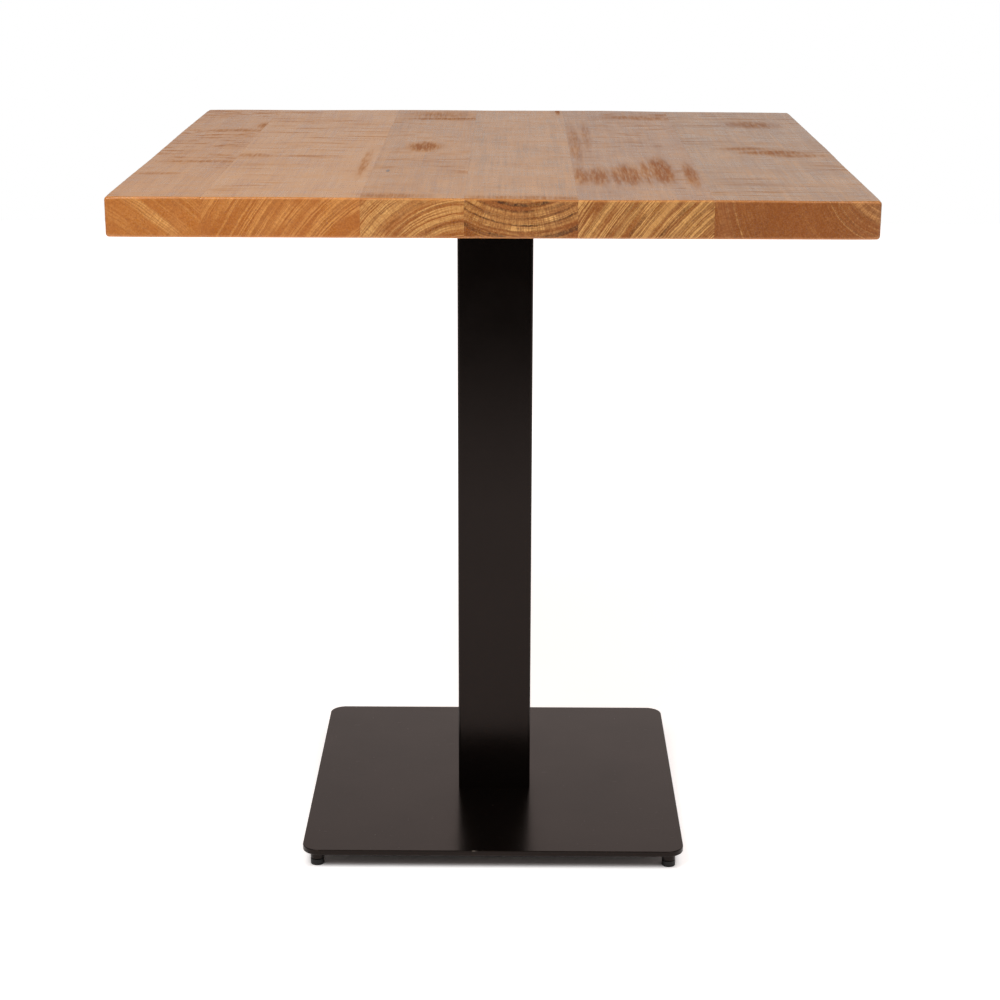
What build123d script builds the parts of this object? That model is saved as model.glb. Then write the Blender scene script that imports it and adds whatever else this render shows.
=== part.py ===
from build123d import *
import os

# Bistro table. Sizes in mm, +Z up, the front edge of the top faces -Y, the floor is Z = 0.

# Stack, from the floor up
FOOT_GAP = 16.0  # floor to the underside of the base plate
BASE_THICKNESS = 6.0
COLUMN_LENGTH = 672.0
BRACKET_THICKNESS = 5.0
TOP_THICKNESS = 36.0

# Table top: boards glued edge to edge, grain along Y
TOP_WIDTH = 700.0
TOP_DEPTH = 700.0
BOARD_JOINTS = [-350.0, -263.0, -119.6, -25.7, 77.0, 200.0, 350.0]
TOP_CORNER_RADIUS = 3.0
TOP_EDGE_RADIUS = 1.2

# Square column
COLUMN_WIDTH = 80.0
COLUMN_WALL = 2.0
COLUMN_CORNER_RADIUS = 3.0

# Square base plate
BASE_WIDTH = 405.0
BASE_CORNER_RADIUS = 18.0
BASE_EDGE_RADIUS = 0.8

# Bracket: the steel plate welded to the column's top and screwed to the wood
BRACKET_WIDTH = 300.0
BRACKET_CORNER_RADIUS = 12.0
BRACKET_HOLE_RADIUS = 2.75

# Wood screws, pan head 5 x 28, on the sides and corners of a square
WOOD_SCREW_SPACING = 135.0
WOOD_SCREW_RADIUS = 2.5
WOOD_SCREW_LENGTH = 28.0
WOOD_SCREW_POINT = 4.0
WOOD_HEAD_RADIUS = 4.75
WOOD_HEAD_HEIGHT = 3.0
WOOD_HEAD_ROUND = 1.6
CROSS_LENGTH = 4.6
CROSS_WIDTH = 1.1
CROSS_DEPTH = 1.8

# Threaded block welded inside the foot of the column
BLOCK_THICKNESS = 16.0
BLOCK_GAP = 0.2  # all round, inside the tube
BLOCK_CORNER_RADIUS = 2.0

# Countersunk M8 x 20 screws, up through the base plate into the block
BASE_SCREW_SPACING = 24.0
M8_RADIUS = 3.95
M8_BORE_RADIUS = 4.0
M8_CLEARANCE_RADIUS = 4.2
M8_HEAD_RADIUS = 7.9
M8_SCREW_LENGTH = 20.0
M8_SOCKET = 5.0  # across flats
M8_SOCKET_DEPTH = 3.5
SEAT_CLEARANCE = 0.05
END_CHAMFER = 0.8

# Levelling feet: a bush under the plate, an M8 stud in it and a pad that swivels on the stud
FOOT_INSET = 15.5  # from the sides of the base plate
FOOT_RADIUS = 7.25
BUSH_HEIGHT = 9.0
PAD_HEIGHT = 6.7
PAD_FLOOR = 1.8
PAD_POCKET_RADIUS = 5.5
PAD_POCKET_HEIGHT = 2.7
PAD_KEY_HOLE_RADIUS = 3.0
STUD_FLANGE_RADIUS = 5.45
STUD_FLANGE_HEIGHT = 2.5
STUD_TOP_GAP = 0.3
STUD_SOCKET = 4.0  # across flats
STUD_SOCKET_DEPTH = 3.5
AXIAL_PLAY = 0.1
FOOT_CHAMFER = 0.5

BASE_UNDERSIDE = FOOT_GAP
BASE_TOP = BASE_UNDERSIDE + BASE_THICKNESS
BRACKET_UNDERSIDE = BASE_TOP + COLUMN_LENGTH
TOP_UNDERSIDE = BRACKET_UNDERSIDE + BRACKET_THICKNESS
TOP_MIDDLE = TOP_UNDERSIDE + TOP_THICKNESS / 2

ON_FLOOR = (Align.CENTER, Align.CENTER, Align.MIN)

WOOD_SCREW_POINTS = [
    (x * WOOD_SCREW_SPACING, y * WOOD_SCREW_SPACING)
    for x in (-1, 0, 1)
    for y in (-1, 0, 1)
    if (x, y) != (0, 0)
]
BASE_SCREW_POINTS = [(x * BASE_SCREW_SPACING, y * BASE_SCREW_SPACING) for x in (-1, 1) for y in (-1, 1)]

FOOT_REACH = BASE_WIDTH / 2 - FOOT_INSET
FEET = {
    "front_left": (-FOOT_REACH, -FOOT_REACH),
    "front_right": (FOOT_REACH, -FOOT_REACH),
    "back_left": (-FOOT_REACH, FOOT_REACH),
    "back_right": (FOOT_REACH, FOOT_REACH),
}


def rod(radius, low, high):
    return Pos(0, 0, low) * Cylinder(radius, high - low, align=ON_FLOOR)


def taper(low_radius, high_radius, low, high):
    return Pos(0, 0, low) * Cone(low_radius, high_radius, high - low, align=ON_FLOOR)


def block(width, depth, low, high, corner_radius):
    solid = Pos(0, 0, low) * Box(width, depth, high - low, align=ON_FLOOR)
    return fillet(solid.edges().filter_by(Axis.Z), corner_radius)


def hex_socket(across_flats, low, high):
    outline = RegularPolygon(across_flats / 2, 6, major_radius=False)
    return Pos(0, 0, low) * extrude(outline, high - low)


def ease_flat_edges(solid, radius):
    faces = solid.faces().filter_by(Axis.Z).sort_by(Axis.Z)
    return fillet(faces[0].outer_wire().edges() + faces[-1].outer_wire().edges(), radius)


def at_points(solid, points):
    return [Pos(x, y, 0) * solid for x, y in points]


def table_top():
    slab = block(TOP_WIDTH, TOP_DEPTH, TOP_UNDERSIDE, TOP_UNDERSIDE + TOP_THICKNESS, TOP_CORNER_RADIUS)
    slab = ease_flat_edges(slab, TOP_EDGE_RADIUS)
    pilot_top = BRACKET_UNDERSIDE + WOOD_SCREW_LENGTH + 1
    pilot = rod(WOOD_SCREW_RADIUS + SEAT_CLEARANCE, TOP_UNDERSIDE, pilot_top)
    return slab - at_points(pilot, WOOD_SCREW_POINTS)


def board(slab, left, right):
    slice_box = Pos((left + right) / 2, 0, TOP_MIDDLE) * Box(right - left, TOP_DEPTH + 2, TOP_THICKNESS + 2)
    return slab & slice_box


def bracket():
    plate = block(BRACKET_WIDTH, BRACKET_WIDTH, BRACKET_UNDERSIDE, TOP_UNDERSIDE, BRACKET_CORNER_RADIUS)
    hole = rod(BRACKET_HOLE_RADIUS, BRACKET_UNDERSIDE - 1, TOP_UNDERSIDE + 1)
    return plate - at_points(hole, WOOD_SCREW_POINTS)


def wood_screw():
    under_head = BRACKET_UNDERSIDE
    head_low = under_head - WOOD_HEAD_HEIGHT
    tip = under_head + WOOD_SCREW_LENGTH
    head = rod(WOOD_HEAD_RADIUS, head_low, under_head)
    head = fillet(head.edges().sort_by(Axis.Z)[0], WOOD_HEAD_ROUND)
    shank = rod(WOOD_SCREW_RADIUS, under_head, tip - WOOD_SCREW_POINT)
    point = taper(WOOD_SCREW_RADIUS, 0, tip - WOOD_SCREW_POINT, tip)
    slot = Pos(0, 0, head_low) * Box(CROSS_LENGTH, CROSS_WIDTH, CROSS_DEPTH, align=ON_FLOOR)
    return head + shank + point - slot - Rot(0, 0, 90) * slot


def column():
    outside = block(COLUMN_WIDTH, COLUMN_WIDTH, BASE_TOP, BRACKET_UNDERSIDE, COLUMN_CORNER_RADIUS)
    bore = COLUMN_WIDTH - 2 * COLUMN_WALL
    inside = block(bore, bore, BASE_TOP, BRACKET_UNDERSIDE, COLUMN_CORNER_RADIUS - COLUMN_WALL)
    return outside - inside


def foot_block():
    width = COLUMN_WIDTH - 2 * COLUMN_WALL - 2 * BLOCK_GAP
    solid = block(width, width, BASE_TOP, BASE_TOP + BLOCK_THICKNESS, BLOCK_CORNER_RADIUS)
    hole = rod(M8_BORE_RADIUS, BASE_TOP - 1, BASE_TOP + BLOCK_THICKNESS + 1)
    return solid - at_points(hole, BASE_SCREW_POINTS)


def countersunk_head(extra):
    high = BASE_UNDERSIDE + M8_HEAD_RADIUS - M8_RADIUS
    return taper(M8_HEAD_RADIUS + extra, M8_RADIUS + extra, BASE_UNDERSIDE, high)


def base_screw():
    tip = BASE_UNDERSIDE + M8_SCREW_LENGTH
    shank = rod(M8_RADIUS, BASE_UNDERSIDE, tip)
    shank = chamfer(shank.edges().sort_by(Axis.Z)[-1], END_CHAMFER)
    socket = hex_socket(M8_SOCKET, BASE_UNDERSIDE, BASE_UNDERSIDE + M8_SOCKET_DEPTH)
    return countersunk_head(0) + shank - socket


def base_plate():
    plate = block(BASE_WIDTH, BASE_WIDTH, BASE_UNDERSIDE, BASE_TOP, BASE_CORNER_RADIUS)
    plate = ease_flat_edges(plate, BASE_EDGE_RADIUS)
    hole = rod(M8_CLEARANCE_RADIUS, BASE_UNDERSIDE - 1, BASE_TOP + 1)
    return plate - at_points(countersunk_head(SEAT_CLEARANCE) + hole, BASE_SCREW_POINTS)


def foot_bush():
    low = BASE_UNDERSIDE - BUSH_HEIGHT
    solid = rod(FOOT_RADIUS, low, BASE_UNDERSIDE)
    solid = chamfer(solid.edges().sort_by(Axis.Z)[0], FOOT_CHAMFER)
    return solid - rod(M8_BORE_RADIUS, low - 1, BASE_UNDERSIDE + 1)


def foot_stud():
    flange_low = PAD_FLOOR + AXIAL_PLAY
    flange = rod(STUD_FLANGE_RADIUS, flange_low, flange_low + STUD_FLANGE_HEIGHT)
    shank = rod(M8_RADIUS, flange_low, BASE_UNDERSIDE - STUD_TOP_GAP)
    shank = chamfer(shank.edges().sort_by(Axis.Z)[-1], END_CHAMFER)
    return flange + shank - hex_socket(STUD_SOCKET, flange_low, flange_low + STUD_SOCKET_DEPTH)


def foot_pad():
    solid = rod(FOOT_RADIUS, 0, PAD_HEIGHT)
    solid = chamfer(solid.edges().filter_by(GeomType.CIRCLE), FOOT_CHAMFER)
    pocket = rod(PAD_POCKET_RADIUS, PAD_FLOOR, PAD_FLOOR + PAD_POCKET_HEIGHT)
    neck = rod(M8_BORE_RADIUS, PAD_FLOOR, PAD_HEIGHT + 1)
    return solid - pocket - neck - rod(PAD_KEY_HOLE_RADIUS, -1, PAD_FLOOR + 1)


def save(name, shape):
    export_step(shape, f"parts/{name}.step")


os.makedirs("parts", exist_ok=True)

slab = table_top()
for number, (left, right) in enumerate(zip(BOARD_JOINTS, BOARD_JOINTS[1:]), 1):
    save(f"top_board_{number}", board(slab, left, right))

save("bracket", bracket())
save("wood_screws", Compound(children=at_points(wood_screw(), WOOD_SCREW_POINTS)))
save("column", column())
save("foot_block", foot_block())
save("base_screws", Compound(children=at_points(base_screw(), BASE_SCREW_POINTS)))
save("base_plate", base_plate())

for corner, (x, y) in FEET.items():
    save(f"{corner}_bush", Pos(x, y, 0) * foot_bush())
    save(f"{corner}_stud", Pos(x, y, 0) * foot_stud())
    save(f"{corner}_pad", Pos(x, y, 0) * foot_pad())
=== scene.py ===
import math

import bpy
import numpy as np
from mathutils import Matrix, Vector


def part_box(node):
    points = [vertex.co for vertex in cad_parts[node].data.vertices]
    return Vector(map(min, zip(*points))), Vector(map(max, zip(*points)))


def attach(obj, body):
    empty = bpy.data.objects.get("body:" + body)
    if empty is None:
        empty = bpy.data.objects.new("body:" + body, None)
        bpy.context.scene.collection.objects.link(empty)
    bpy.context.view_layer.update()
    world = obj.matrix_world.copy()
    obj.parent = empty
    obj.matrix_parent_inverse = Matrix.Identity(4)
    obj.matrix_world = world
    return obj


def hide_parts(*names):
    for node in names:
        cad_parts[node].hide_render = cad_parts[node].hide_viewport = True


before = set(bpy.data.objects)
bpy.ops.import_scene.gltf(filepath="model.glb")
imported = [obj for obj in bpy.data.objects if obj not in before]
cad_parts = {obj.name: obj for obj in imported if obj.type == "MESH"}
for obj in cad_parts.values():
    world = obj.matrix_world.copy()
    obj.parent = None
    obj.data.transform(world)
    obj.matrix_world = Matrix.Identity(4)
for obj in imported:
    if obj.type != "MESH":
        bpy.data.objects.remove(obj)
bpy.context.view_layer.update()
print("frame loaded,", len(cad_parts), "nodes")

mm = 0.001
midHeight = 717  # middle of the top's thickness over the floor, in mm
halfTop = 350  # half the top's width and depth, in mm
halfThick = 18


# One output of a shader node. Sums on it add the nodes that work them out.
class Wire:
    def __init__(self, tree, socket=None):
        self.tree = tree
        self.socket = socket

    def node(self, kind, settings=None, sockets=None, output=0):
        new = self.tree.nodes.new(kind)
        for name, value in (settings or {}).items():
            setattr(new, name, value)
        for name, value in (sockets or {}).items():
            if isinstance(value, Wire):
                self.tree.links.new(value.socket, new.inputs[name])
            else:
                new.inputs[name].default_value = value
        return Wire(self.tree, None if output is None else new.outputs[output])

    def math(self, operation, *values, clamp=False):
        settings = {"operation": operation, "use_clamp": clamp}
        return self.node("ShaderNodeMath", settings, dict(enumerate(values)))

    def vector(self, operation, *others):
        sockets = dict(enumerate((self, *others)))
        return self.node("ShaderNodeVectorMath", {"operation": operation}, sockets)

    def __add__(self, other):
        return self.math("ADD", self, other)

    def __radd__(self, other):
        return self.math("ADD", other, self)

    def __sub__(self, other):
        return self.math("SUBTRACT", self, other)

    def __rsub__(self, other):
        return self.math("SUBTRACT", other, self)

    def __mul__(self, other):
        return self.math("MULTIPLY", self, other)

    def __rmul__(self, other):
        return self.math("MULTIPLY", other, self)

    def __truediv__(self, other):
        return self.math("DIVIDE", self, other)

    def __pow__(self, other):
        return self.math("POWER", self, other)

    def size(self):
        return self.math("ABSOLUTE", self)

    def clamped(self):
        return self.math("ADD", self, 0.0, clamp=True)

    # 0 up to start, 1 from end on, smooth between; start may be the larger
    def step(self, start, end):
        if start > end:
            return 1 - self.step(end, start)
        sockets = {"Value": self, "From Min": start, "From Max": end}
        return self.node("ShaderNodeMapRange", {"interpolation_type": "SMOOTHSTEP"}, sockets)

    def parts(self):
        split = self.node("ShaderNodeSeparateXYZ", {}, {0: self}).socket.node
        return [Wire(self.tree, output) for output in split.outputs]

    def join(self, x, y, z):
        return self.node("ShaderNodeCombineXYZ", {}, {"X": x, "Y": y, "Z": z})

    def stretch(self, x, y, z):
        return self.vector("MULTIPLY", (x, y, z))

    def noise(self, detail=2.0, roughness=0.5, distortion=0.0, output=0):
        sockets = {
            "Vector": self,
            "Scale": 1.0,
            "Detail": detail,
            "Roughness": roughness,
            "Distortion": distortion,
        }
        return self.node("ShaderNodeTexNoise", {}, sockets, output)

    # a colour; other takes over where share is 1
    def blend(self, other, share):
        settings = {"data_type": "RGBA"}
        return self.node("ShaderNodeMix", settings, {0: share, 6: self, 7: other}, 2)

    def between(self, first, second):
        settings = {"data_type": "RGBA"}
        return self.node("ShaderNodeMix", settings, {0: self, 6: first, 7: second}, 2)


# a colour as a screen shows it, 0 to 255
def shown(red, green, blue):
    return tuple(((c / 255 + 0.055) / 1.055) ** 2.4 for c in (red, green, blue)) + (1.0,)


# build gets the position in mm and gives the values of the surface's sockets
def newFinish(name, build):
    material = bpy.data.materials.new(name)
    material.use_nodes = True
    material.node_tree.nodes.clear()
    metres = Wire(material.node_tree).node("ShaderNodeTexCoord", output="Object")
    place = metres.stretch(1000, 1000, 1000)
    surface = place.node("ShaderNodeBsdfPrincipled", {}, build(place), "BSDF")
    place.node("ShaderNodeOutputMaterial", {}, {"Surface": surface}, None)
    return material


# height is in mm
def bumpFrom(height, strength):
    sockets = {"Height": height, "Distance": mm, "Strength": strength}
    return height.node("ShaderNodeBump", {}, sockets)


def setFinish(piece, material):
    piece.data.materials.clear()
    piece.data.materials.append(material)


# The wood's looks. pith is the centre of the rings, x from the table's middle and height over the
# middle of the slab, in mm. brown, yellow and dark belong to the ends, face to the sawn top and sides.
# bands are light rings on the ends: radius, half width, strength; darkBands the same, but dark.
# bandPlace is the stretch of the end where the light rings show: middle and half length. loose is the
# strength of fine light lines between them. dotted and broken say how far the rays cut the light rings
# up. figure is the brown marks across the grain: strength, length, pitch in mm. spots are brown places
# on the top: x, y, half widths, strength. gum is a dark streak on the top: x, y, half widths.
boardLooks = [
    {
        "node": "top_board_1", "seed": 3.1, "pith": (-492, -236), "face": shown(171, 120, 59),
        "brown": shown(187, 114, 49), "yellow": shown(226, 168, 98), "dark": shown(128, 70, 28),
        "bands": [(302, 5.0, 1.0), (314, 0.8, 0.35), (288, 0.8, 0.3), (326, 0.8, 0.25), (277, 0.8, 0.25)],
        "darkBands": [], "bandPlace": (-307, 24), "loose": 0.3, "dotted": 0.45, "broken": 0.2,
        "figure": (0.9, 30, 10),
        "spots": [
            (-262, 190, 8, 24, 0.6), (-298, -110, 34, 7, 0.5), (-284, 142, 30, 9, 0.5),
            (-325, -200, 20, 6, 0.4),
        ],
    },
    {
        "node": "top_board_2", "seed": 11.7, "pith": (-23, -131), "face": shown(179, 131, 75),
        "brown": shown(181, 109, 47), "yellow": shown(220, 156, 86), "dark": shown(132, 72, 30),
        "bands": [
            (253, 1.2, 0.6), (243, 1.2, 0.7), (226, 1.6, 0.5), (203, 2.2, 0.55), (182, 4.0, 0.9),
            (175, 1.6, 0.7),
        ],
        "darkBands": [], "bandPlace": None, "loose": 0.85, "dotted": 0.3, "broken": 0.2,
        "figure": (0.65, 80, 8),
        "spots": [(-130, -120, 4, 80, 0.5), (-250, -64, 22, 12, 0.4)],
    },
    {
        "node": "top_board_3", "seed": 23.9, "pith": (-22, -82), "face": shown(165, 116, 58),
        "brown": shown(168, 101, 45), "yellow": shown(224, 172, 104), "dark": shown(106, 59, 27),
        "bands": [
            (115, 7.5, 1.0), (98, 1.2, 0.6), (92, 1.0, 0.5), (84, 2.2, 0.8), (76, 3.0, 0.9),
            (128, 1.5, 0.5),
        ],
        "darkBands": [(80, 0.9, 0.5), (105, 1.2, 0.4)], "bandPlace": None, "loose": 0.8, "dotted": 0.35,
        "broken": 0.3, "figure": (0.3, 45, 12), "gum": (-104, -174, 1.8, 8),
        "spots": [
            (-75, 9, 13, 30, 0.95), (-58, 262, 36, 9, 0.7), (-66, 300, 30, 26, 0.35),
            (-95, -335, 26, 12, 0.45),
        ],
    },
    {
        "node": "top_board_4", "seed": 37.3, "pith": (28, 95), "face": shown(168, 122, 71),
        "brown": shown(150, 86, 37), "yellow": shown(230, 176, 106), "dark": shown(58, 34, 20),
        "bands": [(91, 2.4, 0.6), (98, 3.4, 1.0), (104, 2.6, 0.9)],
        "darkBands": [(82, 1.4, 0.8), (113, 2.0, 0.6), (100.5, 0.7, 0.6), (94, 0.7, 0.5), (88, 1.2, 0.5)],
        "bandPlace": None, "loose": 0.4, "dotted": 0.55, "broken": 0.55, "figure": (0.12, 50, 12),
        "spots": [(71, 333, 2, 24, 1.4), (30, -340, 60, 9, 0.45)],
    },
    {
        "node": "top_board_5", "seed": 51.1, "pith": (373, -192), "face": shown(152, 109, 65),
        "brown": shown(152, 91, 42), "yellow": shown(222, 170, 102), "dark": shown(98, 56, 27),
        "bands": [
            (337, 4.0, 0.9), (326, 1.0, 0.5), (315, 3.2, 0.85), (297, 6.0, 0.75), (275, 5.0, 0.95),
            (262, 4.0, 0.9),
        ],
        "darkBands": [(306, 1.6, 0.5), (284, 1.4, 0.6), (268, 0.9, 0.5), (322, 1.2, 0.4)], "bandPlace": None,
        "loose": 0.9, "dotted": 0.2, "broken": 0.15, "figure": (0.3, 34, 13),
        "spots": [
            (131, -186, 10, 52, 0.85), (101, -198, 9, 44, 0.7), (164, -158, 9, 64, 1.15),
            (84, -200, 6, 44, 0.7), (148, -170, 4, 60, 0.6), (191, -188, 5, 60, 0.75),
            (118, -200, 4, 44, 0.6), (165, 282, 42, 16, 0.45), (200, 312, 20, 10, 0.4),
            (84, 40, 6, 120, 0.35), (98, 110, 4, 90, 0.3),
        ],
    },
    {
        "node": "top_board_6", "seed": 67.7, "pith": (362, 41), "face": shown(148, 110, 68),
        "brown": shown(147, 86, 41), "yellow": shown(200, 146, 90), "dark": shown(96, 54, 29),
        "bands": [
            (147.5, 0.9, 1.0), (154, 0.8, 0.6), (63, 1.0, 1.0), (57, 0.9, 0.8), (51, 0.8, 0.6),
            (38, 9, 1.0),
        ],
        "darkBands": [], "bandPlace": None, "loose": 0.2, "dotted": 0.75, "broken": 0.1,
        "figure": (0.4, 80, 10),
        "spots": [
            (288, -22, 28, 14, 0.7), (292, 225, 24, 26, 0.5), (262, 8, 20, 12, 0.5),
            (312, -44, 24, 10, 0.5),
        ],
    },
]

woodLook = {
    "wander": 5,  # mm, how far the rings stray at the front, and how much more at the back
    "wanderBack": 20,
    "lineWidth": 1.15,  # mm, light lines in the end grain
    "sawPitch": 9,  # mm, between the cross marks of the saw
    "facePale": 0.1,  # share of the end's light bands seen on the faces
    "lacquer": 0.3,  # roughness
    "torn": 0.62,  # how much rougher the brown marks are
    "mark": shown(138, 80, 34),
    "light": shown(196, 146, 88),
    "gum": shown(58, 50, 54),
    # edge is a painted highlight: a bright orange line painted on the rounding between the ends and the
    # faces
    "edge": shown(224, 146, 62),
}


def woodFinish(look):
    seed = look["seed"]
    pithX, pithZ = look["pith"]
    low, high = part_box(look["node"])
    reach = math.hypot((low.x + high.x) / 2 / mm - pithX, pithZ)

    def build(place):
        x, y, z = place.parts()
        height = z - midHeight
        normal = place.node("ShaderNodeNewGeometry", output="Normal")
        sideNormal, endNormal, upNormal = (part.size() for part in normal.parts())
        endGrain = endNormal.step(0.25, 0.6)
        face = upNormal.step(0.45, 0.8)
        joint = sideNormal * upNormal * 2

        # rings round a pith that wanders along the board
        drift = place.vector("ADD", (seed * 40, 0, 0)).stretch(0.008, 0.003, 0.008)
        driftX, driftZ, driftTone = drift.noise(1, output="Color").parts()
        stray = woodLook["wander"] + (y + halfTop) / (2 * halfTop) * woodLook["wanderBack"]
        quiver = place.stretch(0.11, 0.004, 0.11).noise(1) - 0.5
        across = x - pithX + (driftX - 0.5) * stray
        up = height - pithZ + (driftZ - 0.5) * stray
        radius = (across * across + up * up) ** 0.5 + quiver * 1.6
        turn = up.math("ARCTAN2", up, across) * reach
        torn = place.stretch(0.09, 0.03, 0.09).noise(3, 0.65)
        brush = place.stretch(0.42, 0.03, 0.42).noise(3, 0.6).step(0.32, 0.68)
        rough = knotty = None
        for spotX, spotY, wide, long, strength in look["spots"]:
            away = ((x - spotX) / wide) ** 2 + ((y - spotY) / long) ** 2
            near = away.math("EXPONENT", away * -0.6)
            radius = radius + near * wide * 1.3 * face
            spot = near.step(0.05, 0.95) * (0.3 + 1.0 * brush) * strength
            rough = spot if rough is None else rough.math("MAXIMUM", rough, spot)
            knotty = near if knotty is None else knotty.math("MAXIMUM", knotty, near)

        def rings(width, detail=1.0, shift=0.0):
            return place.join(radius / width, turn * 0.012 + seed + shift, y * 0.0014).noise(detail)

        lines = rings(woodLook["lineWidth"], 1.0, 4.0).step(0.4, 0.6)
        hairs = rings(0.5, 0.0, 9.0).step(0.4, 0.65)
        rays = place.join(radius * 0.05, turn / 1.3, seed).noise(1).step(0.38, 0.62)
        clusters = place.join(radius / 13 + seed, turn / 50, y * 0.002).noise(1).step(0.38, 0.62)
        bands = None
        for ring, halfWidth, strength in look["bands"]:
            band = (radius - ring).size().step(halfWidth * 1.3, halfWidth * 0.55) * strength
            bands = band if bands is None else bands.math("MAXIMUM", bands, band)
        if look["bandPlace"]:
            middle, halfLength = look["bandPlace"]
            bands = bands * (0.25 + 0.75 * ((x - middle) / halfLength).size().step(1.3, 0.3))
        dotted = 1 - look["dotted"] + look["dotted"] * rays
        blotch = place.vector("ADD", (seed * 7, 0, 0)).stretch(0.05, 0.01, 0.12).noise(2).step(0.42, 0.58)
        bands = bands * (1 - look["broken"] + look["broken"] * blotch)
        pale = bands * (0.55 + 0.45 * lines) * dotted
        loose = lines * clusters * look["loose"] * dotted
        pale = pale.math("MAXIMUM", pale, loose)
        pale = pale * (endGrain + (1 - endGrain) * woodLook["facePale"])
        shade = (1 - lines) * 0.35 * (bands + 0.4 * clusters * look["loose"]) * endGrain
        for ring, halfWidth, strength in look["darkBands"]:
            band = (radius - ring).size().step(halfWidth * 1.5, halfWidth * 0.4)
            shade = shade + band * (0.3 + 0.7 * torn.step(0.4, 0.6)) * strength * endGrain

        # pores: dots on the ends, short dashes along the faces
        pores = place.vector("ADD", (seed, seed, 0)).stretch(0.9, 0.07, 0.9).noise(1).step(0.6, 0.72)
        streaks = place.vector("ADD", (0, seed * 9, 0)).stretch(0.35, 0.008, 0.35).noise(3, 0.7)
        mottle = place.stretch(0.02, 0.012, 0.02).noise(3, 0.6)
        grain = place.stretch(0.7, 0.05, 0.7).noise(2, 0.6)
        growth = rings(4.5, 1.0, 2.0).step(0.35, 0.65)
        thread = place.join(x * 0.7, y * 0.014, z * 0.7 + seed).noise(3, 0.75)

        # the faces were sawn across the grain, which left rough brown marks
        strength, length, pitch = look["figure"]
        sawn = place.join(x * 0.03, y / woodLook["sawPitch"], seed).noise(2, 0.6)
        wave = place.join(x / length + seed, y / pitch + x / 260, z * 0.01).noise(3, 0.6, 0.3)
        patch = place.join(x * 0.008, y * 0.0055, seed * 3).noise(1).step(0.4, 0.6)
        figure = wave.step(0.5, 0.72) * patch * strength
        rough = figure if rough is None else rough.math("MAXIMUM", rough, figure)
        topFace = face * height.step(-4, 4)  # marks don't go through to the underside
        rough = (rough * (0.7 + 0.6 * torn)).clamped() * topFace

        tone = 0.5 + (driftTone - 0.5) * 0.5 + (streaks - 0.5) * 0.6 + (mottle - 0.5) * 0.4
        end = tone.step(0.1, 0.75).between(look["dark"], look["brown"]).blend(look["brown"], 0.55)
        end = end.blend(look["yellow"], pale.clamped())
        end = end.blend(look["dark"], (shade + pores * 0.3 + (0.5 - grain).clamped() * 1.2).clamped())
        end = end.blend(look["yellow"], (grain - 0.5).clamped() * 1.0)
        flat = end.blend(look["face"], 0.92)
        light = (thread - 0.5) * 1.05 + (mottle - 0.5) * 0.95 + (streaks - 0.5) * 1.0 + (sawn - 0.5) * 0.68
        light = light + (growth - 0.5) * (0.16 + 0.3 * knotty)
        flat = flat.blend(look["dark"], (0 - light).clamped() * 1.0)
        flat = flat.blend(woodLook["light"], light.clamped() * 1.0)
        flat = flat.blend(look["dark"], (pores * 0.08 + lines * 0.05 + joint.clamped() * 0.3).clamped())
        flat = flat.blend(woodLook["mark"], rough * 0.85)
        if "gum" in look:
            gumX, gumY, wide, long = look["gum"]
            away = ((x - gumX) / wide) ** 2 + ((y - gumY) / long) ** 2
            flat = flat.blend(woodLook["gum"], (away + (torn - 0.5)).step(1.4, 0.5) * topFace * 0.85)
        # painted highlight: the rounding between the ends and the top and underside gets the bright edge
        # colour
        wood = flat.blend(end, endGrain).blend(woodLook["edge"], (endNormal * upNormal * 0.75).clamped())

        pores = pores * (0.3 + 0.7 * endGrain)
        bumps = (sawn - 0.5) * 0.1 * face + lines * 0.03 - pores * 0.1 + (hairs - 0.5) * 0.02
        bumps = bumps + (thread - 0.5) * 0.05 * face + rough * (torn * 0.3 + brush * 0.2)
        coat = woodLook["lacquer"] + pores * 0.15 + rough * woodLook["torn"] + (sawn + thread - 1) * 0.3
        return {
            "Base Color": wood,
            "Roughness": coat,
            "IOR": 1.5,
            "Normal": bumpFrom(bumps, 0.8),
        }

    return newFinish("lacqueredWood" + look["node"][-1], build)


# a smooth random relief, mostly -1 to 1
def relief(u, v, seed, longest, shortest, waves=14):
    rng = np.random.default_rng(seed)
    total = np.zeros_like(u)
    for _ in range(waves):
        angle = rng.uniform(0, math.pi)
        length = longest * (shortest / longest) ** rng.uniform()
        along = u * math.cos(angle) + v * math.sin(angle)
        total += np.sin(along * 2 * math.pi / length + rng.uniform(0, 6.3))
    return total / waves**0.5


def smooth(start, end, value):
    t = np.clip((value - start) / (end - start), 0, 1)
    return t * t * (3 - 2 * t)


# the skin of a box on the given grid lines: points, and faces that look outwards
def boxSkin(xs, ys, zs):
    index = -np.ones((len(xs), len(ys), len(zs)), int)
    outside = np.zeros(index.shape, bool)
    outside[[0, -1]] = outside[:, [0, -1]] = outside[:, :, [0, -1]] = True
    index[outside] = np.arange(outside.sum())
    where = np.argwhere(outside)
    points = np.stack([xs[where[:, 0]], ys[where[:, 1]], zs[where[:, 2]]], 1)
    faces = []
    for axis in range(3):
        for end in (0, -1):
            sheet = np.take(index, end, axis)
            square = [sheet[:-1, :-1], sheet[1:, :-1], sheet[1:, 1:], sheet[:-1, 1:]]
            quads = np.stack(square, -1).reshape(-1, 4)
            turned = (end == 0) != (axis == 1)
            faces.append(quads[:, ::-1] if turned else quads)
    return points, np.concatenate(faces)


def gridLines(low, high, pitch, edge):
    near = edge * np.array([0, 0.12, 0.3, 0.5, 0.75, 1.0, 1.5, 2.2])
    count = max(2, round((high - low - 2 * near[-1]) / pitch))
    middle = np.linspace(low + near[-1], high - near[-1], count + 1)
    return np.concatenate([low + near[:-1], middle, (high - near[:-1])[::-1]])


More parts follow.
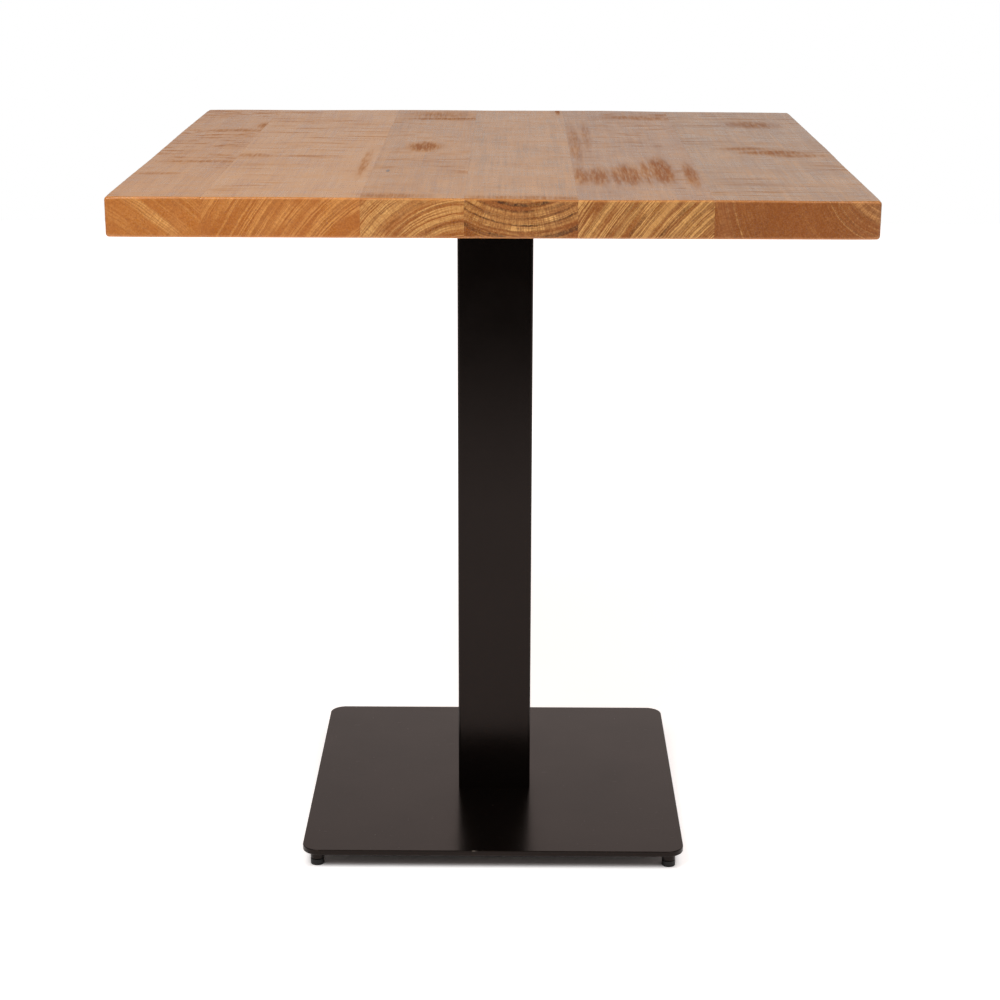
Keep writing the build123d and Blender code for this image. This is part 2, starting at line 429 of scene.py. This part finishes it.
def newPiece(name, points, faces, body, material, sharpAngle):
    mesh = bpy.data.meshes.new(name)
    mesh.from_pydata(np.asarray(points).tolist(), [], [list(f) for f in faces])
    mesh.validate()
    mesh.shade_smooth()
    mesh.set_sharp_from_angle(angle=math.radians(sharpAngle))
    piece = bpy.data.objects.new(name, mesh)
    bpy.context.collection.objects.link(piece)
    setFinish(piece, material)
    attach(piece, body)
    return piece


# all in mm
boardShape = {
    "edge": 2.2,
    "cornerEdge": 3.4,
    "facePitch": (3.2, 1.5),
    "sidePitch": 2.0,
    "crown": 1.3,  # how far the top's left part stands over its right part
    "fall": (165, 125),  # x where it falls away at the back, and how much further left at the front
    "sawRelief": 0.07,
    "levelSteps": (0.12, -0.1, 0.08, -0.06, 0.1, -0.12),
}


def boardPiece(number, look):
    name = look["node"]
    low, high = (np.array(corner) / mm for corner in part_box(name))
    edge = boardShape["edge"]
    first, last = number == 0, number == len(boardLooks) - 1
    xs = gridLines(low[0], high[0], boardShape["facePitch"][0], edge)
    ys = gridLines(low[1], high[1], boardShape["facePitch"][1], edge)
    zs = gridLines(low[2], high[2], boardShape["sidePitch"], edge)
    points, faces = boxSkin(xs, ys, zs)
    x, y, z = points.T

    # rounded edges, rounder at the top's four corners
    toCorner = np.hypot(halfTop - np.abs(x), halfTop - np.abs(y))
    radius = edge + (boardShape["cornerEdge"] - edge) * np.exp(-((toCorner / 14) ** 2))
    radius = radius * (1 + 0.05 * relief(x, y, 70 + number, 60, 14))
    lowest = np.stack([low[0] + radius * first, low[1] + radius, low[2] + radius], 1)
    highest = np.stack([high[0] - radius * last, high[1] - radius, high[2] - radius], 1)
    inner = np.clip(points, lowest, highest)
    away = points - inner
    length = np.maximum(np.linalg.norm(away, axis=1), 1e-9)
    points = inner + away * (np.minimum(1, radius / length))[:, None]

    # a hair's bevel along the glue joints
    toJoint = np.full(len(x), 99.0)
    if not first:
        toJoint = np.minimum(toJoint, x - low[0])
    if not last:
        toJoint = np.minimum(toJoint, high[0] - x)
    bevel = 0.09 * np.clip(1 - toJoint / 0.5, 0, 1)

    # waves of the hand-finished top, saw relief, and boards a touch high or low
    upper = np.clip((z - midHeight) / halfThick, 0, 1)
    lower = np.clip((midHeight - z) / halfThick, 0, 1)
    front = (halfTop - y) / (2 * halfTop)
    fallBack, fallShift = boardShape["fall"]
    fall = smooth(-60, 60, x - (fallBack - fallShift * front))
    wave = boardShape["crown"] * (0.35 - fall) + 0.25 * relief(x, y, 5, 420, 160)
    offCentre = (x - (low[0] + high[0]) / 2) / (high[0] - low[0]) * 2  # -1 to 1 across the board
    cup = boardShape["levelSteps"][number] * (1 - offCentre**2)
    patch = 0.5 + 0.5 * relief(x, y, 90 + number, 260, 90)
    saw = boardShape["sawRelief"] * patch * relief(x * 0.06, y, 30 + number, 9, 3.4)
    points[:, 2] += upper * (wave + cup + saw - bevel) - lower * (0.1 * saw - bevel)
    endOn = np.clip((np.abs(y) - (halfTop - 5)) / 4, 0, 1) * np.sign(y)
    points[:, 1] += endOn * (0.12 * relief(x, z, 50 + number, 60, 9) - bevel)

    slot = "wood_board_" + name[-1]
    piece = newPiece(name + "_wood", points * mm, faces, "table", woodFinish(look), 60)
    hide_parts(name)


for number, look in enumerate(boardLooks):
    boardPiece(number, look)
print("top boards built")


coatLook = {
    "colour": (0.0020, 0.0015, 0.0012, 1),
    "dust": (0.05, 0.043, 0.038, 1),
    "roughness": 0.22,
    "specular": 0.2,
    "tint": (1.0, 0.8, 0.73, 1),
    "grainSize": 0.7,  # mm, the coat's orange peel
    # a chipped place, mm: middle, half length, how far forward its edge is
    "chip": (-19.5, 4, 201.6),
    "bare": (0.075, 0.066, 0.057, 1),
}


def powderCoat(name, wear):
    def build(place):
        smudges = place.stretch(0.012, 0.012, 0.012).noise(4, 0.6)
        fine = 1 / coatLook["grainSize"]
        peel = place.stretch(fine, fine, fine).noise(1)
        scuffs = place.stretch(0.5, 0.02, 0.5).noise(2).step(0.72, 0.8)
        crossed = place.stretch(0.03, 0.45, 0.3).noise(2).step(0.73, 0.8)
        specks = place.stretch(0.35, 0.35, 0.35).noise(2).step(0.74, 0.8)
        marks = ((scuffs + crossed) * 0.4 + specks) * wear
        x, y, z = place.parts()
        middle, halfLength, edge = coatLook["chip"]
        chip = (x - middle).size().step(halfLength, halfLength * 0.7)
        chip = chip * (0 - y).step(edge - 0.6, edge) * z.step(20.6, 21.4)
        chip = chip * place.stretch(0.35, 0.6, 0.8).noise(2).step(0.48, 0.56)
        coat = marks.clamped().between(coatLook["colour"], coatLook["dust"])
        coat = coat.blend(coatLook["bare"], chip)
        roughness = coatLook["roughness"] + (smudges - 0.5) * 0.16 + marks * 0.25
        height = peel * 0.012 + smudges * 0.05 - marks * 0.02
        return {
            "Base Color": coat,
            "Roughness": roughness,
            "Specular IOR Level": coatLook["specular"],
            "Specular Tint": coatLook["tint"],
            "Normal": bumpFrom(height, 0.6),
        }

    return newFinish(name, build)


def zincFinish():
    def build(place):
        spangle = place.stretch(0.9, 0.9, 0.9).noise(2)
        brushed = place.stretch(3, 3, 0.4).noise(2)
        zinc = spangle.step(0.3, 0.7).between((0.42, 0.42, 0.40, 1), (0.62, 0.61, 0.57, 1))
        return {
            "Base Color": zinc,
            "Metallic": 1.0,
            "Roughness": 0.3 + (brushed - 0.5) * 0.25,
            "Normal": bumpFrom(brushed * 0.01 + spangle * 0.01, 0.6),
        }

    return newFinish("zincPlate", build)


def rawSteelFinish():
    def build(place):
        scale = place.stretch(0.15, 0.15, 0.15).noise(4, 0.6)
        turned = place.stretch(0.1, 2.2, 2.2).noise(2)
        steel = scale.step(0.35, 0.7).between((0.16, 0.15, 0.14, 1), (0.34, 0.33, 0.31, 1))
        return {
            "Base Color": steel,
            "Metallic": 1.0,
            "Roughness": 0.42 + (turned - 0.5) * 0.3,
            "Normal": bumpFrom(turned * 0.02 + scale * 0.03, 0.6),
        }

    return newFinish("rawSteel", build)


def plasticFinish():
    def build(place):
        grain = place.stretch(2.5, 2.5, 2.5).noise(2)
        worn = place.stretch(0.3, 0.3, 0.5).noise(3)
        plastic = worn.step(0.4, 0.75).between((0.004, 0.004, 0.004, 1), (0.012, 0.0115, 0.011, 1))
        return {
            "Base Color": plastic,
            "Roughness": 0.5 + (worn - 0.5) * 0.2,
            "Specular IOR Level": 0.25,
            "Normal": bumpFrom(grain * 0.03, 0.7),
        }

    return newFinish("mouldedPlastic", build)


columnCoat = powderCoat("powderCoatColumn", 0.15)
plateCoat = powderCoat("powderCoatPlate", 0.7)
zinc = zincFinish()
rawSteel = rawSteelFinish()
plastic = plasticFinish()
corners = ("front_left", "front_right", "back_left", "back_right")
setFinish(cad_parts["column"], columnCoat)
for name in ("base_plate", "bracket", *(corner + "_bush" for corner in corners)):
    setFinish(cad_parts[name], plateCoat)
for name in ("wood_screws", "base_screws"):
    setFinish(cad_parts[name], zinc)
setFinish(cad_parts["foot_block"], rawSteel)
for corner in corners:
    setFinish(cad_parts[corner + "_pad"], plastic)
print("metal and plastic finished")


# a grid of rings, joined to each other and closed at both ends
def ringFaces(rings, around):
    faces = []
    for ring in range(rings - 1):
        for step in range(around):
            a, b = ring * around + step, ring * around + (step + 1) % around
            faces.append((a, b, b + around, a + around))
    faces.append(tuple(range(around - 1, -1, -1)))
    faces.append(tuple(range((rings - 1) * around, rings * around)))
    return faces


# all in mm
studShape = {
    "around": 60,
    "threadRadius": 3.93,
    "threadDepth": 0.62,
    "pitch": 1.25,
    "flangeRadius": 5.45,
    "flangeEase": 0.25,
    "flangeLow": 1.9,
    "flangeHigh": 4.4,
    "top": 15.7,
    "socketFlats": 4.0,
    "socketDepth": 3.5,
}


def threadedStud(corner):
    shape = studShape
    low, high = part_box(corner + "_stud")
    middle = (low + high) / 2 / mm
    angles = np.arange(shape["around"]) * 2 * math.pi / shape["around"]
    sixth = math.pi / 3
    hexagon = shape["socketFlats"] / 2 / np.cos((angles % sixth) - sixth / 2)
    circle = np.ones_like(angles)
    bottom, shoulder, top = shape["flangeLow"], shape["flangeHigh"], shape["top"]
    ease = shape["flangeEase"]
    flange, eased = circle * shape["flangeRadius"], circle * (shape["flangeRadius"] - ease)
    socketEnd = bottom + shape["socketDepth"]
    rings = [
        (hexagon * 0.3, socketEnd), (hexagon, socketEnd), (hexagon, bottom + 0.2), (hexagon * 1.07, bottom),
        (eased, bottom), (flange, bottom + ease), (flange, shoulder - ease), (eased, shoulder),
        (circle * 3.4, shoulder),
    ]
    for z in np.arange(shoulder + 0.15, top - 0.05, 0.11):
        turnShare = (z / shape["pitch"] - angles / (2 * math.pi)) % 1
        groove = np.clip(np.abs(turnShare - 0.5) * 2.5 - 0.12, 0, 1)
        cut = min(1.0, (z - shoulder) / 0.8)
        runOut = max(0.0, z - (top - 0.8))
        rings.append((shape["threadRadius"] - shape["threadDepth"] * groove * cut - runOut * 0.8, z))
    rings.append((circle * 2.9, top))
    points = [
        (middle.x + r * math.cos(a), middle.y + r * math.sin(a), z)
        for radii, z in rings
        for r, a in zip(radii, angles)
    ]
    faces = ringFaces(len(rings), shape["around"])
    points = np.array(points) * mm
    piece = newPiece(corner + "_thread", points, faces, corner + "_stud", zinc, 35)
    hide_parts(corner + "_stud")


for corner in corners:
    threadedStud(corner)
print("threaded studs built")


# all in mm
weldShape = {"ripple": 2.1, "depth": 0.14, "around": 10}


# a rippled bead along a closed path of (x, y) points; height is the bead's middle
def weldBead(name, path, height, size):
    path = np.array(path)
    step = np.roll(path, -1, 0) - np.roll(path, 1, 0)
    along = np.cumsum(np.linalg.norm(path - np.roll(path, 1, 0), axis=1))
    outward = np.stack([step[:, 1], -step[:, 0]], 1) / np.linalg.norm(step, axis=1)[:, None]
    rng = np.random.default_rng(17)
    phase = along / weldShape["ripple"] + 0.3 * np.sin(along / 11 + rng.uniform(0, 6))
    swell = size * (1 + weldShape["depth"] * np.abs(np.sin(phase * math.pi)) + 0.06 * np.sin(along / 7))
    around = weldShape["around"]
    points = []
    for spot, out, thick in zip(path, outward, swell):
        for n in range(around):
            angle = 2 * math.pi * n / around
            flat = spot + out * thick * math.cos(angle)
            points.append((flat[0], flat[1], height + thick * math.sin(angle)))
    count = len(path)
    faces = []
    for ring in range(count):
        for n in range(around):
            a, b = ring * around + n, ring * around + (n + 1) % around
            c, d = (ring + 1) % count * around + (n + 1) % around, (ring + 1) % count * around + n
            faces.append((a, d, c, b))
    newPiece(name, np.array(points) * mm, faces, "table", plateCoat, 60)


def squarePath(half, corner, pitch):
    points = []
    for quarter in range(4):
        angle = quarter * math.pi / 2
        turn = np.array([[math.cos(angle), -math.sin(angle)], [math.sin(angle), math.cos(angle)]])
        straight = half - corner
        for t in np.arange(-straight, straight, pitch):
            points.append(turn @ (half, t))
        for t in np.linspace(0, math.pi / 2, 6, endpoint=False):
            points.append(turn @ (straight + corner * math.cos(t), straight + corner * math.sin(t)))
    return points


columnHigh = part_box("column")[1] / mm
weldBead("bracket_weld", squarePath(columnHigh.x + 0.7, 3.4, 0.5), columnHigh.z - 0.7, 1.9)
for corner in corners:
    low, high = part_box(corner + "_bush")
    middle, size = (low + high) / 2 / mm, (high.x - low.x) / 2 / mm
    ring = [
        (middle.x + (size + 0.3) * math.cos(a), middle.y + (size + 0.3) * math.sin(a))
        for a in np.arange(96) * 2 * math.pi / 96
    ]
    weldBead(corner + "_bush_weld", ring, high.z / mm - 0.5, 1.0)
print("welds laid")


studio = {
    "floorFront": -1.9,
    "floorSide": 3.2,
    "floorBack": 4.0,
    "floorGlow": (0.55, 0.75),  # the floor is a lit white sheet: near the table and far from it
    "paintedShadowUnder": 196,  # mm from the middle, inside which the sheet's glow is switched off: a painted shadow under the plate
    "horizon": 0.69,  # brightness behind the table, low down and higher up
    "lowDip": 0.06,  # how much darker it is a little over the horizon
    "backWall": 0.98,
    "frontWall": 0.4,
    "ceiling": 0.42,
    "tint": (1.0, 0.96, 0.93, 1),
    "warmTint": (1.0, 0.82, 0.76, 1),
    "lamps": [
        # name, place, size, watts
        ("key", (-1.1, -1.5, 2.6), 1.1, 34),
        ("fill", (1.2, -1.5, 2.5), 1.1, 21),
    ],
}


def floorFinish():
    def build(place):
        mottle = place.stretch(0.004, 0.004, 0.004).noise(3)
        paper = mottle.between((0.90, 0.90, 0.90, 1), (0.93, 0.93, 0.93, 1))
        x, y, _ = place.parts()
        out = x.math("MAXIMUM", x.size(), y.size())
        near, far = studio["floorGlow"]
        glow = near + out.step(600, 1800) * (far - near)
        # painted shadow: the glow is switched off under the plate, so the floor there stays dark
        glow = glow * out.step(studio["paintedShadowUnder"] - 12, studio["paintedShadowUnder"] + 8)
        return {
            "Base Color": paper,
            "Roughness": 0.85,
            "Specular IOR Level": 0.1,
            "Emission Color": place.join(glow, glow, glow),
            "Emission Strength": 1,
        }

    return newFinish("paperFloor", build)


floorMesh = bpy.data.meshes.new("floor")
side, nearEdge, farEdge = studio["floorSide"], studio["floorFront"], studio["floorBack"]
floorMesh.from_pydata(
    [(-side, nearEdge, 0), (side, nearEdge, 0), (side, farEdge, 0), (-side, farEdge, 0)], [], [(0, 1, 2, 3)]
)
floor = bpy.data.objects.new("floor", floorMesh)
bpy.context.collection.objects.link(floor)
setFinish(floor, floorFinish())

world = bpy.data.worlds.new("studio")
bpy.context.scene.world = world
world.use_nodes = True
world.node_tree.nodes.clear()
start = Wire(world.node_tree)
sideways, forwards, upwards = start.node("ShaderNodeTexCoord", output="Generated").parts()
behind = forwards.step(-0.25, 0.35)
back = studio["horizon"] - upwards.step(0.125, 0.155) * studio["lowDip"]
back = back + upwards.step(0.15, 0.4) * (studio["backWall"] - studio["horizon"] + studio["lowDip"])
back = back * (1 + sideways * 0.4)
wall = studio["frontWall"] + behind * (back - studio["frontWall"])
wall = wall + upwards.step(0.4, 0.8) * (studio["ceiling"] - wall)
wall = wall * upwards.step(-0.05, 0.01)
seen = start.node("ShaderNodeLightPath", output="Is Camera Ray")
colour = upwards.step(0.18, 0.38).between(studio["tint"], studio["warmTint"])
colour = colour.blend((1, 1, 1, 1), seen)
background = start.node("ShaderNodeBackground", {}, {"Color": colour, "Strength": seen + (1 - seen) * wall})
start.node("ShaderNodeOutputWorld", {}, {"Surface": background}, None)

for name, place, size, watts in studio["lamps"]:
    lamp = bpy.data.lights.new(name, "AREA")
    lamp.shape = "SQUARE"
    lamp.size = size
    lamp.energy = watts
    holder = bpy.data.objects.new(name, lamp)
    bpy.context.collection.objects.link(holder)
    holder.location = place
    holder.rotation_euler = (Vector((0, 0, 0.5)) - Vector(place)).to_track_quat("-Z", "Y").to_euler()

viewpoint = {
    "place": (0.0188, -2.2957, 1.0320),
    "lens": 78.15,
    "down": 16.572,  # degrees
    "turn": -0.335,
    "tilt": 0.165,
}


def setCamera():
    down, turn, tilt = (math.radians(viewpoint[key]) for key in ("down", "turn", "tilt"))
    ahead = Vector((math.sin(turn) * math.cos(down), math.cos(turn) * math.cos(down), -math.sin(down)))
    right = Vector((math.cos(turn), -math.sin(turn), 0))
    up = right.cross(ahead)
    tilted = right * math.cos(tilt) + up * math.sin(tilt)
    upright = up * math.cos(tilt) - right * math.sin(tilt)
    data = bpy.data.cameras.new("camera")
    data.lens = viewpoint["lens"]
    data.sensor_width = 36
    camera = bpy.data.objects.new("camera", data)
    bpy.context.collection.objects.link(camera)
    turned = Matrix((tilted, upright, -ahead)).transposed().to_4x4()
    camera.matrix_world = Matrix.Translation(viewpoint["place"]) @ turned
    bpy.context.scene.camera = camera


setCamera()
bpy.context.scene.view_settings.view_transform = "Standard"
print("studio set")
